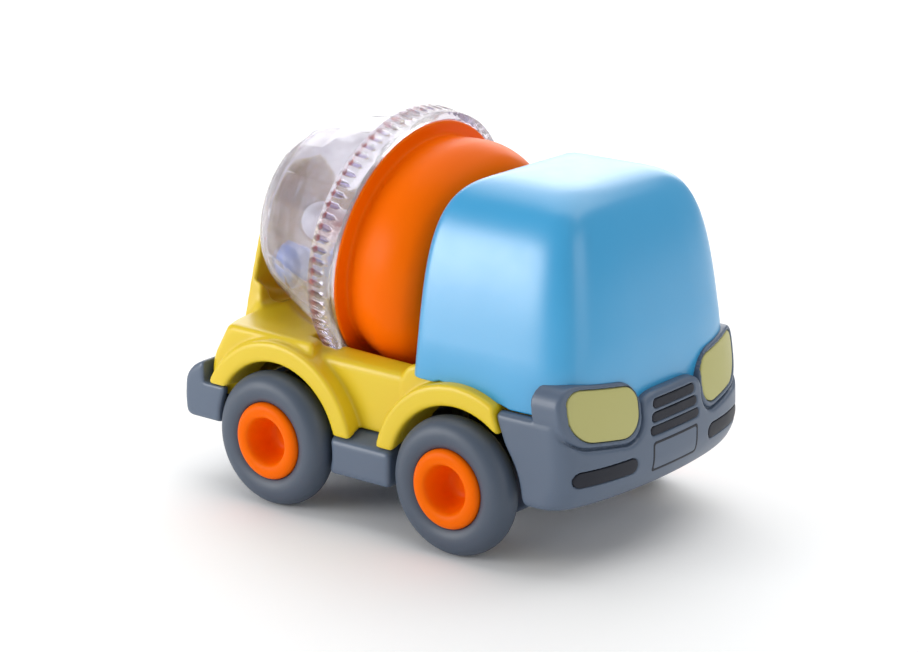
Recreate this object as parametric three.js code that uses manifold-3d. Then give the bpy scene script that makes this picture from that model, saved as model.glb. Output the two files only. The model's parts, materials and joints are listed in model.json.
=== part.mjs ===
// Toy cement mixer: a push-along truck whose geared friction drive turns a clear drum with loose balls.
// Millimetres. Inside the truck group x = 0 is midway between the axles, +x is the front, +y the truck's
// left and z = 0 the floor.
import * as THREE from "three";
import { mergeVertices } from "three/addons/utils/BufferGeometryUtils.js";
import Module from "manifold-3d";

const wasm = await Module();
wasm.setup();

const { PI, abs, cos, sign, sin } = Math;
const GAP = 0.3; // between pieces that touch
const RUNNING = 0.1; // radial clearance of a turning shaft
const PRESS = 0.05; // radial gap between a gear and the shaft it is fixed on

// ---------- driving dimensions ----------

const WHEELBASE = 59;
const CENTRE_SHIFT = -3.2; // moves the middle of the truck's length to x = 0
const WHEEL = { radius: 17.9, centreY: 37.8, halfWidth: 4.2, bulge: 4.6, shoulder: 4.5, seat: 10.5 };
const HUB = {
  radius: 10.3, lip: 8.2, mouth: 6.1, floor: 4.4, dishDepth: 7, faceY: 5.2, boreY: -3.4, backY: -6,
};
const AXLE_RADIUS = 1.5;

const BODY_HALF = 34; // recessed side face
const REAR_HALF = 36;
const FENDER = { faceY: 39, outer: 25.8, inner: 20.2, insideY: 27.5, openY: 23 };
const DECK_Z = 43.6;
const PLATEAU_Z = 44.8;
const PLATFORM_Z = 45;
const SKIN = 2.2; // wall of the upper body
const STEP = { x0: -12.6, x1: 9.2, z0: 12.5, edgeZ: 21.9, topZ: 24.3, topY: 33, faceY: 39.2 };
const BASE = {
  x0: -55, x1: 58, z0: 8.5, top: 23.6, floor: 1.8, halfWidth: 26.5, wall: 1.9, rampX: 40, rampZ: 15,
};

const CAB = {
  baseZ: 38, middleX: 36, height: 53.9, wall: 2,
  front: 31.4, frontTaper: 0.13, rear: 22.6, rearTaper: 0.03, half: 36.5, halfTaper: 0.116,
  frontPower: 2.8, sidePower: 6.5, rearPower: 22, roofPower: 5.1,
};
const BUMPER = { z0: 16.9, sideTop: 39.7, sideY: 38.2, nose: 69.3, rearX: 41.8, wall: 3, upperWall: 1.9 };
const LENS = { y: 24.8, z: 40, halfWidth: 10.9, halfHeight: 6.4, corner: 4.8, tilt: 0.13 };

const TILT = (9 * PI) / 180; // drum axis: level at the front, rising to the rear
const DRUM = { x: -12.2, z: 64.6, seam: 33.9, bandLength: 7.3, frontEnd: 24.3, rearEnd: 39, wall: 1.6 };
const RING_TEETH = 75;
const RING_TIP = 36;
const RING_ROOT = 34.4;
const CRADLE_CLEARANCE = 1.2;
const CRADLE_SKIN = 1.5;

const RING_PITCH = (RING_TIP + RING_ROOT) / 2;
const RING_MODULE = (2 * RING_PITCH) / RING_TEETH;
const FLANGE_LENGTH = 2.3; // plain band in front of the teeth
const RING_MIDDLE = 4.8; // along the drum axis from the seam
const RING_PINION_TEETH = 9;
const CROWN_TEETH = 12;
const CROWN_PINION_TEETH = 8;
const CROWN_MODULE = 0.8;
const AXLE_GEAR_TEETH = 15;
const CROSS_GEAR_TEETH = 13;
const STEP_PINION_TEETH = 8;
const STEP_GEAR_TEETH = 18;
const FLY_PINION_TEETH = 8;
const FLY_MODULE = 0.6;
const SHAFT_RADIUS = 1;
const THIN_SHAFT_RADIUS = 0.8;
const PIN_RADIUS = 2; // the drum's two bearing pins
const PIN_REACH = 11; // of the front pin, beyond the cone
const BALL_RADIUS = 5.2;
const SCREW = { radius: 1.1, head: 2.3, headHeight: 1.4, top: 26 };
const SCREW_PLACES = [[-48, -19], [-48, 19], [2, -21], [2, 21], [36, -19], [36, 19]];
const INLAY = 1; // depth of the bumper's inlays
const PLATE = { z: 25.9, halfWidth: 9.9, halfHeight: 4 };
const PLATE_LINE = 0.9; // width of its frame

// ---------- places worked out from them ----------

const AXLE_Z = WHEEL.radius;
const BASE_TOP = BASE.z0 + BASE.floor;
const FRONT_X = WHEELBASE / 2;
const REAR_X = -WHEELBASE / 2;

const Y_AXIS = new THREE.Vector3(0, 1, 0);
const DRUM_AXIS = new THREE.Vector3(-cos(TILT), 0, sin(TILT)); // from the seam to the rear
const DRUM_DOWN = new THREE.Vector3(-sin(TILT), 0, -cos(TILT));
const DRUM_ORIGIN = new THREE.Vector3(DRUM.x, 0, DRUM.z);

// A point given along the drum axis and below it.
const nearDrum = (along, below) =>
  DRUM_ORIGIN.clone().addScaledVector(DRUM_AXIS, along).addScaledVector(DRUM_DOWN, below);

const RING_PINION_RADIUS = (RING_MODULE * RING_PINION_TEETH) / 2;
const SHAFT_DROP = RING_PITCH + RING_PINION_RADIUS; // drum axis to drive shaft
const CROWN_RADIUS = (CROWN_MODULE * CROWN_TEETH) / 2;
const CROWN_PINION_RADIUS = (CROWN_MODULE * CROWN_PINION_TEETH) / 2;
const CROSS_ALONG = RING_MIDDLE + 12.2;
const CROWN_PINION_ALONG = CROSS_ALONG - CROWN_RADIUS;
const CROSS_AT = nearDrum(CROSS_ALONG, SHAFT_DROP);
const SPUR_MODULE =
  (2 * Math.hypot(CROSS_AT.x - REAR_X, CROSS_AT.z - AXLE_Z)) / (AXLE_GEAR_TEETH + CROSS_GEAR_TEETH);
const STEP_REACH = (SPUR_MODULE * (AXLE_GEAR_TEETH + STEP_PINION_TEETH)) / 2;
const STEP_ANGLE = (12 * PI) / 180;
const STEP_AT = { x: REAR_X + STEP_REACH * cos(STEP_ANGLE), z: AXLE_Z + STEP_REACH * sin(STEP_ANGLE) };
const FLY_REACH = (FLY_MODULE * (STEP_GEAR_TEETH + FLY_PINION_TEETH)) / 2;
const FLY_ANGLE = (-5 * PI) / 180;
const FLY_AT = { x: STEP_AT.x + FLY_REACH * cos(FLY_ANGLE), z: STEP_AT.z + FLY_REACH * sin(FLY_ANGLE) };
const PLATE_RIGHT = [-9.6, -8.1];
const PLATE_LEFT = [12.6, 14.1];

// ---------- materials ----------

const plastic = (color, roughness = 0.4) => () =>
  new THREE.MeshStandardMaterial({ color, roughness, metalness: 0 });
const blue = plastic(0x8cc8ee, 0.45);
const grey = plastic(0x6c7789, 0.45);
const darkGrey = plastic(0x3c3d4c, 0.5);
const yellow = plastic(0xf0d860, 0.4);
const orange = plastic(0xf07000, 0.35);
const tyreGrey = plastic(0x666d78, 0.55);
const cream = plastic(0xcfc782, 0.45);
const whitePlastic = plastic(0xe8e8e4, 0.45);
const ballBlue = plastic(0x5b8fd6, 0.35);
const ballWhite = plastic(0xe6e6ee, 0.35);
const steel = () => new THREE.MeshStandardMaterial({ color: 0xb8bcc2, roughness: 0.3, metalness: 1 });
const clear = () =>
  new THREE.MeshStandardMaterial({
    color: 0xe6e6f2, roughness: 0.08, metalness: 0, transparent: true, opacity: 0.35,
  });

// ---------- solids ----------

// A closed geometry as a solid that faces outwards.
function solid(geometry) {
  const bare = new THREE.BufferGeometry();
  bare.setAttribute("position", geometry.getAttribute("position"));
  if (geometry.index) bare.setIndex(geometry.index);
  const merged = mergeVertices(bare, 1e-4);
  const corners = [];
  for (let i = 0; i < merged.index.count; i += 3) {
    const [a, b, c] = [0, 1, 2].map((k) => merged.index.getX(i + k));
    if (a !== b && b !== c && c !== a) corners.push(a, b, c);
  }
  const make = (triangles) =>
    new wasm.Manifold(
      new wasm.Mesh({
        numProp: 3,
        vertProperties: merged.attributes.position.array,
        triVerts: new Uint32Array(triangles),
      }),
    );
  const made = make(corners);
  return made.volume() < 0 ? make(corners.reverse()) : made;
}

// A solid as a named mesh with a material of its own.
function piece(name, material, body) {
  const { vertProperties, triVerts } = body.getMesh();
  const geometry = new THREE.BufferGeometry();
  geometry.setAttribute("position", new THREE.BufferAttribute(vertProperties, 3));
  geometry.setIndex(new THREE.BufferAttribute(triVerts, 1));
  geometry.computeVertexNormals();
  const mesh = new THREE.Mesh(geometry, material());
  mesh.name = name;
  return mesh;
}

const union = (...bodies) => bodies.reduce((whole, next) => whole.add(next));
const mirrored = (make) => union(make(1), make(-1)); // the same feature on the left and on the right

// The biggest of the bodies that a cut leaves, without its slivers.
const largest = (body) => body.decompose().reduce((a, b) => (a.volume() > b.volume() ? a : b));

function block(x0, x1, y0, y1, z0, z1) {
  const box = new THREE.BoxGeometry(x1 - x0, y1 - y0, z1 - z0);
  return solid(box.translate((x0 + x1) / 2, (y0 + y1) / 2, (z0 + z1) / 2));
}

const outline = (points) => new THREE.Shape(points.map(([a, b]) => new THREE.Vector2(a, b)));
const extruded = (shape, depth, segments = 12) =>
  new THREE.ExtrudeGeometry(shape, { depth, bevelEnabled: false, curveSegments: segments });

// An outline in x and z, carried from y0 to y1.
function sidePrism(points, y0, y1) {
  const geometry = extruded(outline(points), y1 - y0);
  return solid(geometry.rotateX(PI / 2).translate(0, y1, 0));
}

// An outline in x and y, carried from z0 to z1.
const planPrism = (points, z0, z1) => solid(extruded(outline(points), z1 - z0).translate(0, 0, z0));

// A shape in y and z, carried from x0 to x1.
function frontPrism(shape, x0, x1, segments = 8) {
  const toFront = new THREE.Matrix4().makeBasis(
    new THREE.Vector3(0, 1, 0),
    new THREE.Vector3(0, 0, 1),
    new THREE.Vector3(1, 0, 0),
  );
  return solid(extruded(shape, x1 - x0, segments).applyMatrix4(toFront).translate(x0, 0, 0));
}

// A frame at a point whose z runs along the axis and whose x is square to it, nearest to y.
function frameAlong(at, axis) {
  const x = abs(axis.y) > 0.9 ? new THREE.Vector3(1, 0, 0) : Y_AXIS.clone();
  const y = new THREE.Vector3().crossVectors(axis, x);
  return new THREE.Matrix4().makeBasis(x, y, axis).setPosition(at);
}

const drumFrame = frameAlong(DRUM_ORIGIN, DRUM_AXIS);

// A closed profile of [radius, height] turned round the axis of the frame.
function turned(profile, frame, segments = 40) {
  const points = profile.map(([r, h]) => new THREE.Vector2(r, h));
  const geometry = new THREE.LatheGeometry(points, segments);
  return solid(geometry.rotateX(PI / 2).applyMatrix4(frame));
}

const disc = (radius, from, to, frame, segments = 40) =>
  turned([[0, from], [radius, from], [radius, to], [0, to]], frame, segments);

// A round bar or bore parallel to y.
const crossBar = (x, z, radius, y0, y1, segments = 24) =>
  disc(radius, y0, y1, frameAlong(new THREE.Vector3(x, 0, z), Y_AXIS), segments);

// A round bar or bore parallel to x, in the middle plane.
const lengthBar = (x0, x1, z, radius) =>
  disc(radius, x0, x1, frameAlong(new THREE.Vector3(0, 0, z), new THREE.Vector3(1, 0, 0)), 24);

// A round bar or bore parallel to z.
const uprightBar = (x, y, radius, z0, z1, segments = 16) =>
  disc(radius, z0, z1, new THREE.Matrix4().makeTranslation(x, y, 0), segments);

// Points of an arc in steps, from one angle to another in degrees.
function arc(cx, cy, radius, from, to, steps) {
  return Array.from({ length: steps + 1 }, (_, i) => {
    const angle = ((from + ((to - from) * i) / steps) * PI) / 180;
    return [cx + radius * cos(angle), cy + radius * sin(angle)];
  });
}

// Skins a stack of rings with the same number of points into a closed body.
function loft(rings) {
  const count = rings[0].length;
  const positions = rings.flat(2);
  const triangles = [];
  for (let r = 0; r + 1 < rings.length; r++) {
    for (let i = 0; i < count; i++) {
      const [a, b] = [r * count + i, r * count + ((i + 1) % count)];
      triangles.push(a, b, b + count, a, b + count, a + count);
    }
  }
  const top = (rings.length - 1) * count;
  for (let i = 1; i + 1 < count; i++) triangles.push(0, i + 1, i, top, top + i, top + i + 1);
  const geometry = new THREE.BufferGeometry();
  geometry.setAttribute("position", new THREE.Float32BufferAttribute(positions, 3));
  geometry.setIndex(triangles);
  return solid(geometry);
}

// ---------- gears ----------

// Outline of flat-topped teeth that narrow from the root, given by their half-widths at root and tip.
function toothedShape(teeth, root, tip, footHalf, topHalf, phase = 0) {
  const points = [];
  for (let i = 0; i < teeth; i++) {
    const middle = ((i + phase) * 2 * PI) / teeth;
    const corner = (radius, across) => {
      const angle = middle + across / radius;
      return [radius * cos(angle), radius * sin(angle)];
    };
    points.push(corner(root, -footHalf), corner(tip, -topHalf), corner(tip, topHalf), corner(root, footHalf));
  }
  return outline(points);
}

// Spur gear whose teeth are a little thinner than the gaps they run in.
function spurGear(teeth, module, from, to, frame, phase = 0) {
  const pitch = (module * teeth) / 2;
  const [root, tip] = [pitch - 0.95 * module, pitch + 0.85 * module];
  const shape = toothedShape(teeth, root, tip, 0.85 * module, 0.3 * module, phase);
  return solid(extruded(shape, to - from).translate(0, 0, from).applyMatrix4(frame));
}

// ---------- wheels ----------

// Profiles run along the axle: height 0 is the wheel's mid-plane, plus is the outer face.
function tyreProfile() {
  const { radius, halfWidth, bulge, shoulder, seat } = WHEEL;
  const side = radius - shoulder;
  return [
    [seat, -halfWidth],
    ...arc(side, -bulge + shoulder, shoulder, -90, 0, 3),
    ...arc(side, bulge - shoulder, shoulder, 0, 90, 3),
    [seat, halfWidth],
    [seat, -halfWidth],
  ];
}

function hubProfile() {
  const { radius, lip, mouth, floor, dishDepth, faceY, boreY, backY } = HUB;
  const round = (radius - mouth) / 2;
  return [
    [0, boreY],
    [AXLE_RADIUS + RUNNING, boreY],
    [AXLE_RADIUS + RUNNING, backY],
    [3.6, backY],
    [3.6, -WHEEL.halfWidth],
    [radius, -WHEEL.halfWidth],
    ...arc(lip, faceY - round, round, 0, 180, 4),
    [floor, faceY - dishDepth],
    [0, faceY - dishDepth],
  ];
}

function wheel(place, x, side) {
  const frame = frameAlong(
    new THREE.Vector3(x, side * WHEEL.centreY, AXLE_Z),
    new THREE.Vector3(0, side, 0),
  );
  return [
    piece(`tyre_${place}`, tyreGrey, turned(tyreProfile(), frame, 28)),
    piece(`hub_${place}`, orange, turned(hubProfile(), frame, 20)),
  ];
}

function axle(name, x) {
  const end = WHEEL.centreY + HUB.boreY - RUNNING;
  return piece(name, steel, crossBar(x, AXLE_Z, AXLE_RADIUS, -end, end, 12));
}

// ---------- upper body ----------

const fenderDisc = (x, radius, y0, y1) => crossBar(x, AXLE_Z, radius, y0, y1, 36);

// Discs round all four wheels, from one distance off the middle plane to another.
const wheelDiscs = (radius, from, to, places = [FRONT_X, REAR_X]) =>
  mirrored((side) => {
    const [y0, y1] = side > 0 ? [from, to] : [-to, -from];
    return union(...places.map((x) => fenderDisc(x, radius, y0, y1)));
  });

// The space that the drum turns in, grown by a clearance all round.
function drumSpace(clearance) {
  const end = DRUM.rearEnd + clearance;
  return turned(
    [
      [0, -DRUM.frontEnd - clearance],
      [31 + clearance, -DRUM.frontEnd - clearance],
      [DRUM.seam + clearance, -4],
      [DRUM.seam + clearance, -0.6],
      [RING_TIP + clearance, -0.6],
      [RING_TIP + clearance, DRUM.bandLength + clearance],
      [32.6 + clearance, DRUM.bandLength + clearance + 0.6],
      [27.3 + clearance, 28 + clearance],
      [25.3 + clearance, 34.5],
      [20 + clearance, end - 1],
      [0, end],
    ],
    drumFrame,
    32,
  );
}

// Tombstone wall behind the drum, hollow towards the drum, that carries its rear pin.
function pylon() {
  const shape = new THREE.Shape();
  shape.moveTo(-19, 38);
  shape.lineTo(19, 38);
  shape.lineTo(15.5, 66);
  shape.absarc(0, 66, 15.5, 0, PI, false);
  shape.lineTo(-19, 38);
  const side = sidePrism([[-59, 38], [-57.2, 53], [-54.6, 66], [-52.6, 82], [-43, 82], [-46, 38]], -19, 19);
  const whole = frontPrism(shape, -60, -42, 10).intersect(side);
  const inner = new THREE.Shape();
  inner.moveTo(-15, 36);
  inner.lineTo(15, 36);
  inner.lineTo(12, 64);
  inner.absarc(0, 64, 12, 0, PI, false);
  inner.lineTo(-15, 36);
  const hollow = frontPrism(inner, -60, -40, 8).intersect(
    sidePrism([[-56, 36], [-54.4, 53], [-52.4, 66], [-50.6, 80], [-40, 80], [-40, 36]], -15, 15),
  );
  const boss = disc(4.2, DRUM.rearEnd + 1, DRUM.rearEnd + 5, drumFrame, 20);
  return union(whole.subtract(hollow), boss);
}

// Rear of the body: rounded in plan, upright at first and then sloping in towards the plateau.
function rearBlock(grow, bottom) {
  const half = REAR_HALF + grow;
  const ring = (z, x) => [
    [-18, -half, z], [-18, half, z], [x + 4.3, half, z], [x + 1.8, 30, z], [x + 0.3, 18, z],
    [x + 0.3, -18, z], [x + 1.8, -30, z], [x + 4.3, -half, z],
  ];
  const back = -58.3 - grow;
  return loft([ring(bottom, back), ring(34, back), ring(PLATEAU_Z, back + 6.2)]);
}

function upperBody() {
  const rear = rearBlock(0, 24);
  const deck = frontPrism(
    outline([
      [-BODY_HALF, 23.9], [BODY_HALF, 23.9], [BODY_HALF, 40.6], [32.9, 42.3], [30.5, 43.3], [0, DECK_Z],
      [-30.5, 43.3], [-32.9, 42.3], [-BODY_HALF, 40.6],
    ]),
    -30,
    30,
  );
  const platform = sidePrism(
    [
      [8.8, 24], [8.8, 39.5], [9.8, 42.4], [12.6, PLATFORM_Z],
      [36, PLATFORM_Z], [54, 38.6], [58, 38.6], [58, 24],
    ],
    -BODY_HALF - 0.2,
    BODY_HALF + 0.2,
  );
  const fenders = wheelDiscs(FENDER.outer, 20, FENDER.faceY);
  // The lower edge between the wheels falls away outwards, like the top of the steps under it.
  const hem = outline([
    [-40, STEP.edgeZ], [-STEP.topY, STEP.topZ + 0.4], [STEP.topY, STEP.topZ + 0.4], [40, STEP.edgeZ],
    [40, 60], [-40, 60],
  ]);
  const feet = union(
    block(-54.9, -30, -40, 40, 28.2, 60),
    frontPrism(hem, -35, BUMPER.rearX + 1),
    block(BUMPER.rearX, 60, -33, 33, 23.9, 60),
    block(-60, -50, -33, 33, 24, 60),
  );
  const wells = wheelDiscs(FENDER.inner, FENDER.openY, 40); // open into the hollow under the body
  const inside = FENDER.insideY - SKIN + 0.6;
  const cavity = union(
    block(-55.5, 56, -inside, inside, 10, 38.6),
    block(-7.6, 6.5, SKIN - BODY_HALF, BODY_HALF - SKIN, 10, 40),
  ).subtract(drumSpace(CRADLE_CLEARANCE + CRADLE_SKIN));
  const shell = union(rear, deck, platform, fenders)
    .intersect(feet)
    .subtract(frontEndSpace(GAP))
    .subtract(wells)
    .subtract(cavity);
  const lugs = union(...[RING_MIDDLE - 4.6, RING_MIDDLE + 4.1].map(shaftLug));
  const posts = union(...SCREW_PLACES.map(([x, y]) => screwPost(x, y, BASE_TOP + GAP, 40)));
  const holes = union(
    disc(SHAFT_RADIUS + RUNNING, -10, 30, frameAlong(nearDrum(0, SHAFT_DROP), DRUM_AXIS), 16),
    disc(PIN_RADIUS + RUNNING, -DRUM.frontEnd - 12, DRUM.rearEnd + 10, drumFrame, 20),
    pinionWindow(),
    crossBar(CROSS_AT.x, CROSS_AT.z, CROWN_RADIUS + 1.7, 2, 7.2, 24), // room for the cross gear
    ...SCREW_PLACES.map(([x, y]) => uprightBar(x, y, SCREW.radius + GAP, BASE_TOP, SCREW.top + 1)),
  );
  return union(shell.add(pylon()), posts, lugs, frontPost())
    .subtract(drumSpace(CRADLE_CLEARANCE))
    .subtract(holes);
}

// Bearing lug under the cradle for the drum's drive shaft.
function shaftLug(along) {
  const frame = frameAlong(nearDrum(along, SHAFT_DROP), DRUM_AXIS);
  const lug = new THREE.BoxGeometry(6.4, 8, 2).translate(0, -2, 0);
  return solid(lug.applyMatrix4(frame));
}

// Opening in the cradle floor where the pinion reaches the ring.
function pinionWindow() {
  const window = new THREE.BoxGeometry(12.4, 12, 6.6).translate(0, -1, 0);
  return solid(window.applyMatrix4(frameAlong(nearDrum(RING_MIDDLE, SHAFT_DROP), DRUM_AXIS)));
}

// Post inside the cab that carries the drum's front pin.
function frontPost() {
  const head = nearDrum(-DRUM.frontEnd - 8.2, 0);
  return union(
    block(head.x - 1.6, head.x + 1.6, -6, 6, 38, head.z),
    lengthBar(head.x - 1.6, head.x + 1.6, head.z, 6),
  );
}

// ---------- screws ----------

const screwPost = (x, y, z0, z1) => uprightBar(x, y, 3.2, z0, z1, 20);

function screw(index) {
  const [x, y] = SCREW_PLACES[index];
  const z = BASE.z0 + 0.2;
  const body = union(
    uprightBar(x, y, SCREW.head, z, z + SCREW.headHeight - GAP, 12),
    uprightBar(x, y, SCREW.radius, z, SCREW.top, 8),
  );
  const slot = block(x - 1.5, x + 1.5, y - 0.3, y + 0.3, z - 1, z + 0.6);
  return piece(`base_screw_${index + 1}`, steel, body.subtract(slot));
}

// ---------- base plate with steps and rear bumper ----------

function rearBumper() {
  const side = sidePrism(
    [[-47, 18], [-61, 18], [-62.7, 20], [-62.9, 28], [-61.6, 31], [-58.6, 33], [-47, 37]],
    -37.4,
    37.4,
  );
  const plan = planPrism(
    [
      [-47, -37.4], ...arc(-60.4, -35.4, 2, 270, 190, 3), [-62.7, -18], [-62.9, 0], [-62.7, 18],
      ...arc(-60.4, 35.4, 2, 170, 90, 3), [-47, 37.4],
    ],
    0,
    50,
  );
  const wells = wheelDiscs(FENDER.inner, FENDER.insideY - 1, 40, [REAR_X]);
  const bodyAbove = union(rearBlock(GAP + 0.1, 23.6), block(-55.3, -40, -40, 40, 27.9, 60));
  const hollow = block(-57, -40, -25, 25, 10, 40);
  return side.intersect(plan).subtract(wells).subtract(bodyAbove).subtract(hollow);
}

function basePlate() {
  const { x0, x1, z0, floor, halfWidth, wall, rampX, rampZ } = BASE;
  // Side view of the tray, its floor rising towards the front.
  const trayShape = (inset, bottom, top) => [
    [x0 + inset, bottom], [rampX, bottom], [x1 - inset, bottom + rampZ - z0],
    [x1 - inset, top], [x0 + inset, top],
  ];
  const tray = sidePrism(trayShape(0, z0, BASE.top), -halfWidth, halfWidth).subtract(
    sidePrism(trayShape(wall, z0 + floor, 40), wall - halfWidth, halfWidth - wall),
  );
  const steps = mirrored((side) => {
    const shape = outline([
      [side * 26, z0], [side * 27.5, z0], [side * 30.5, STEP.z0],
      [side * (STEP.faceY - 1.2), STEP.z0], [side * STEP.faceY, STEP.z0 + 1.5],
      [side * STEP.faceY, STEP.edgeZ - 0.6], [side * (STEP.faceY - 0.6), STEP.edgeZ],
      [side * STEP.topY, STEP.topZ], [side * 26, STEP.topZ],
    ]);
    return frontPrism(shape, STEP.x0, STEP.x1);
  });
  const steppedWells = wheelDiscs(WHEEL.radius + 1.4, halfWidth + 0.1, 45);
  const rearWeb = block(x0 - 3, x0 + 2, -25, 25, z0, 20);
  const bearings = union(...[FRONT_X, REAR_X].map(axleSeat));
  const screwHoles = union(
    ...SCREW_PLACES.flatMap(([x, y]) => [
      uprightBar(x, y, SCREW.radius + GAP, 0, 20),
      uprightBar(x, y, SCREW.head + GAP, 0, z0 + SCREW.headHeight + 0.1),
    ]),
  );
  return union(tray, steps.subtract(steppedWells), rearWeb, rearBumper())
    .subtract(bearings)
    .subtract(screwHoles);
}

// Bore for an axle in the tray's walls, with the narrower slot that it snaps in through.
function axleSeat(x) {
  const half = AXLE_RADIUS - 0.2;
  return union(
    crossBar(x, AXLE_Z, AXLE_RADIUS + RUNNING, -30, 30, 16),
    block(x - half, x + half, -30, 30, AXLE_Z, 30),
  );
}

// ---------- cab ----------

// Half-width or half-length factor of the crowned roof at a height above the cab's base.
const roofScale = (rise) => Math.pow(1 - Math.pow(rise / CAB.height, CAB.roofPower), 1 / CAB.roofPower);

// Plan outline of the cab at a height, pulled in by an inset: a rounded box with a bowed front.
function cabRing(rise, inset, count) {
  const scale = roofScale(rise / (1 - inset / CAB.height));
  const half = (CAB.half - CAB.halfTaper * rise) * scale - inset;
  const front = (CAB.front - CAB.frontTaper * rise) * scale - inset;
  const rear = (CAB.rear - CAB.rearTaper * rise) * scale - inset;
  return Array.from({ length: count }, (_, i) => {
    const angle = (2 * PI * (i + 0.5)) / count;
    const [c, s] = [cos(angle), sin(angle)];
    const [length, powerX, powerY] =
      c > 0 ? [front, CAB.frontPower, CAB.sidePower] : [rear, CAB.rearPower, CAB.rearPower];
    return [
      CAB.middleX + sign(c) * length * Math.pow(abs(c), 2 / powerX),
      sign(s) * half * Math.pow(abs(s), 2 / powerY),
      CAB.baseZ + rise,
    ];
  });
}

function cabBody(inset, levels, count) {
  const height = CAB.height - inset;
  const rings = [];
  for (let i = 0; i <= levels; i++) {
    const rise = height * Math.pow(sin((0.985 * i * PI) / levels / 2), 2 / 3);
    rings.push(cabRing(rise, inset, count));
  }
  return loft(rings);
}

function cab() {
  const arches = fenderDisc(FRONT_X, FENDER.outer + GAP, -45, 45);
  const below = sidePrism([[10, 30], [80, 30], [80, 40], [42, 40], [42, 42.4], [10, 42.4]], -45, 45);
  const pin = nearDrum(-DRUM.frontEnd, 0);
  const pinSlot = union(
    block(8, 26, -PIN_RADIUS - 1, PIN_RADIUS + 1, 30, pin.z - 0.5),
    lengthBar(8, 26, pin.z - 0.5, PIN_RADIUS + 1),
  );
  const platformRoom = union(block(8, 18, -34.5, 34.5, 30, 45.3), block(17, 61, -34.5, 34.5, 30, 46));
  const bumperRoom = frontPrism(bumperFace(GAP), 20, 90).intersect(layer(-4, BUMPER.upperWall + GAP));
  const shell = cabBody(0, 9, 40)
    .subtract(union(arches, below, platformRoom, pinSlot, bumperRoom))
    .subtract(cabBody(CAB.wall, 6, 28))
    .subtract(drumSpace(CRADLE_CLEARANCE)); // the back is scooped out where the cone comes close
  return largest(shell);
}

// ---------- front bumper ----------

// How far the bumper's front falls back from its nose, across the truck.
const fallBack = (y) => 1.8 * (y / 25) ** 2 + 0.22 * (y / 25) ** 6;

// x of the bumper's nose at each height.
const noseLevels = [
  [BUMPER.z0, 65.6], [19.5, 67.9], [22.5, 69.1], [26, BUMPER.nose], [34, 69], [42, 68.2], [50, 66.6],
];

function bumperRing(z, nose, inset) {
  const half = BUMPER.sideY - inset;
  const corner = 3.2;
  const front = [];
  for (let i = -6; i <= 6; i++) {
    const y = (i / 6) * (half - corner);
    front.push([nose - inset - fallBack(y), y, z]);
  }
  const [cornerX] = front[0];
  const bend = (side) =>
    arc(cornerX - corner, half - corner, corner, 22, 88, 3).map(([x, y]) => [x, side * y, z]);
  return [
    [BUMPER.rearX - 20, -half, z],
    ...bend(-1).reverse(),
    ...front.slice(1, -1),
    ...bend(1),
    [BUMPER.rearX - 20, half, z],
  ];
}

const bumperBlock = (inset) => loft(noseLevels.map(([z, nose]) => bumperRing(z, nose, inset)));

// The front view of the bumper: headlight bezels at the corners, an arched grille in the middle.
function bumperFace(gap) {
  const top = BUMPER.sideTop;
  const outward = [[38.1, top], [38.1, 43.2], [36.6, 47], [33, 48.9]].map(([y, z]) => [y + gap, z + gap]);
  const inward = [[18, 46.6], [14.2, 44.6], [13, 41.6], [12.4, 40.2]].map(([y, z]) => [y - gap, z + gap]);
  const arch = [[10.9, 41.5], [8.6, 42], [4, 42.2]].map(([y, z]) => [y, z + gap]);
  const half = [[40, 10], [40, top + gap], ...outward, ...inward, ...arch];
  return outline([...half, ...half.map(([y, z]) => [-y, z]).reverse()]);
}

// Everything in front of the line where the bumper meets the fender and the tyre's arch.
function frontEndSpace(gap) {
  return sidePrism(
    [[BUMPER.rearX - gap, 60], [BUMPER.rearX - gap, 38.5], [50.4 - gap, 16], [90, 16], [90, 60]],
    -50,
    50,
  ).subtract(block(0, 66, -33 - 0.4 * gap, 33 + 0.4 * gap, 0, 60));
}

// Outline of a headlight: it rises outwards and is a little narrower below.
function lensShape(side, grow) {
  const [w, h, r] = [LENS.halfWidth + grow, LENS.halfHeight + grow, LENS.corner + grow];
  const narrow = 0.8;
  const points = [
    ...arc(w - r, h - r, r, 0, 90, 4),
    ...arc(r - w, h - r, r, 90, 180, 4),
    ...arc(r - w + narrow, r - h, r, 180, 270, 4),
    ...arc(w - r - narrow, r - h, r, 270, 360, 4),
  ];
  return outline(points.map(([y, z]) => [side * LENS.y + y, LENS.z + z + side * LENS.tilt * y]));
}

const barShape = (y, z, halfWidth, halfHeight) =>
  outline([
    ...arc(y + halfWidth - halfHeight, z, halfHeight, -90, 90, 6),
    ...arc(y - halfWidth + halfHeight, z, halfHeight, 90, 270, 6),
  ]);

// Small inlays on the bumper's face: name, and outline in y and z grown by g.
const slats = [
  ["grille_slat_upper", (g) => barShape(0, 39.2, 9 + g, 1.1 + g)],
  ["grille_slat_middle", (g) => barShape(0, 35.9, 9.8 + g, 1.1 + g)],
  ["grille_slat_lower", (g) => barShape(0, 32.6, 10.5 + g, 1.1 + g)],
  ["fog_lamp_right", (g) => barShape(-26.2, 25.6, 10.6 + g, 1.9 + g)],
  ["fog_lamp_left", (g) => barShape(26.2, 25.6, 10.6 + g, 1.9 + g)],
];

function plateShape(grow) {
  const [w, h] = [PLATE.halfWidth + grow, PLATE.halfHeight + grow];
  return outline([[-w, PLATE.z - h], [w, PLATE.z - h], [w, PLATE.z + h], [-w, PLATE.z + h]]);
}

const layer = (from, to) => bumperBlock(from).subtract(bumperBlock(to));

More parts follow.
